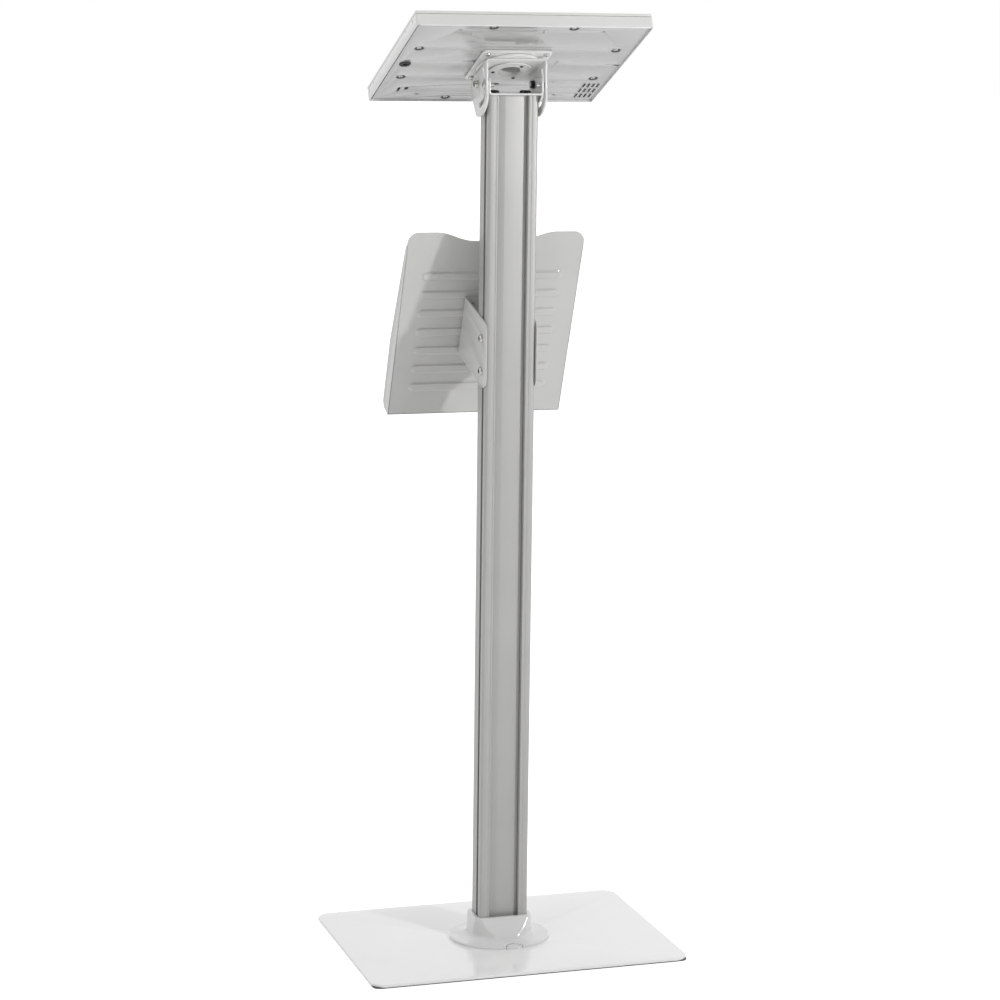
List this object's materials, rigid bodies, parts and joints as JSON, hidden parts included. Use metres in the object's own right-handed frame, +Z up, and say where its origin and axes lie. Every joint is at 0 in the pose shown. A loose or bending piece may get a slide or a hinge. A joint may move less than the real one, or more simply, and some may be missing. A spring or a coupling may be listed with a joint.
{
  "type": "touchscreen kiosk",
  "caption": "Free-standing touchscreen kiosk: flat foot plate, slim aluminium column, leaning leaflet tray and a tilting, swivelling touch display.",
  "frame": {"origin": "centre of the foot's underside, on the floor", "axes": "+Z up the column, -Y towards the person using the screen, +X to the left of the kiosk seen from behind"},
  "size_m": [0.415, 0.3069, 1.1831],
  "materials": {
    "white_gloss": "glossy white stoved enamel",
    "white_powder_coat": "satin white powder coat with a fine orange peel",
    "silver_anodised": "satin anodised extrusion with fine lengthways lines",
    "fastener_steel": "bright zinc-plated fasteners",
    "fastener_black": "blackened steel fasteners",
    "rubber_sheet": "matt black",
    "black_plastic": "moulded black nylon",
    "black_module": "dark display module",
    "circuit_board": "green solder resist",
    "touch_glass": "dark cover glass over the unlit display"
  },
  "bodies": {
    "stand": {"foot_pad": "rubber_sheet", "foot_plate": "white_gloss", "column": "silver_anodised", "cable_cover": "silver_anodised", "collar": "white_gloss", "head_bracket": "white_powder_coat", "brochure_tray": "white_powder_coat", "tray_arm": "white_powder_coat", "foot_screw_1": "fastener_steel", "foot_screw_2": "fastener_steel", "foot_screw_3": "fastener_steel", "foot_screw_4": "fastener_steel", "head_screw_1": "fastener_black", "head_screw_2": "fastener_black", "head_screw_3": "fastener_black", "head_screw_4": "fastener_black", "pivot_bolt_left": "fastener_steel", "pivot_bolt_right": "fastener_steel", "lock_screw_left": "fastener_steel", "lock_screw_right": "fastener_steel", "pivot_nut_left": "fastener_black", "pivot_nut_right": "fastener_black", "friction_washer_left": "black_plastic", "friction_washer_right": "black_plastic", "nut_bar_left": "fastener_steel", "nut_bar_right": "fastener_steel", "tray_screw_1": "fastener_steel", "tray_screw_2": "fastener_steel", "tray_screw_3": "fastener_steel", "tray_screw_4": "fastener_steel", "arm_screw_left_1": "fastener_steel", "arm_screw_left_2": "fastener_steel", "arm_screw_right_1": "fastener_steel", "arm_screw_right_2": "fastener_steel"},
    "yoke": {"tilt_yoke": "white_powder_coat"},
    "display": {"swivel_disc": "white_powder_coat", "retaining_ring": "white_powder_coat", "vesa_plate": "white_powder_coat", "rear_case": "white_powder_coat", "front_bezel": "white_powder_coat", "touch_glass": "touch_glass", "lcd_module": "black_module", "controller_board": "circuit_board", "power_socket": "black_plastic", "ring_screw_1": "fastener_black", "ring_screw_2": "fastener_black", "ring_screw_3": "fastener_black", "vesa_screw_1": "fastener_steel", "vesa_screw_2": "fastener_steel", "vesa_screw_3": "fastener_steel", "vesa_screw_4": "fastener_steel", "case_screw_1": "fastener_steel", "case_screw_2": "fastener_steel", "case_screw_3": "fastener_steel", "case_screw_4": "fastener_steel", "case_screw_5": "fastener_steel", "case_screw_6": "fastener_steel", "case_screw_7": "fastener_steel", "case_screw_8": "fastener_steel"}
  },
  "joints": [
    {"name": "display_tilt", "type": "hinge", "parent": "stand", "child": "yoke", "pos_m": [0, -0.0045, 1.0955], "axis": [1, 0, 0], "range_deg": [-22, 52]},
    {"name": "display_swivel", "type": "hinge", "parent": "yoke", "child": "display", "pos_m": [0, -0.00597, 1.11857], "axis": [0, -0.3923, 0.9198], "range_deg": [-90, 90]}
  ]
}
